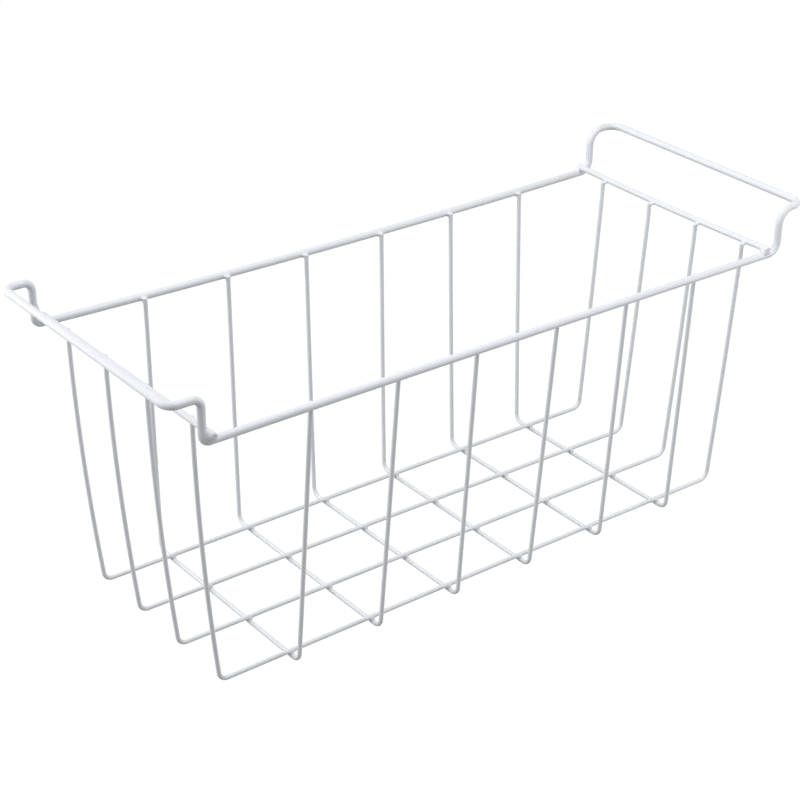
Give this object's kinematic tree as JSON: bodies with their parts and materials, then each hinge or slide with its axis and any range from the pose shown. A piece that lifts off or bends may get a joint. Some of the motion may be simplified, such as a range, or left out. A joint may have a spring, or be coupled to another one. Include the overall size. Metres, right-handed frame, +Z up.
{
  "type": "freezer basket",
  "caption": "Long rectangular wire basket with inward-sloping mesh walls, a flat mesh floor, an open top and a raised outward bar at each end to hang it by.",
  "frame": {"origin": "centre of the basket between its four legs, on the surface that it stands on", "axes": "+X along the basket towards its right end, +Y towards its rear side, +Z up"},
  "size_m": [0.5535, 0.2163, 0.2385],
  "materials": {
    "frame_coating": "smooth semi-gloss white coating over steel wire",
    "mesh_coating": "smooth semi-gloss white coating over steel wire"
  },
  "bodies": {
    "root": {"top_frame": "frame_coating", "left_crossbar": "frame_coating", "right_crossbar": "frame_coating", "long_wire_1": "mesh_coating", "long_wire_2": "mesh_coating", "long_wire_3": "mesh_coating", "long_wire_4": "mesh_coating", "cross_wire_1": "mesh_coating", "cross_wire_2": "mesh_coating", "cross_wire_3": "mesh_coating", "cross_wire_4": "mesh_coating", "cross_wire_5": "mesh_coating", "cross_wire_6": "mesh_coating"}
  },
  "joints": []
}
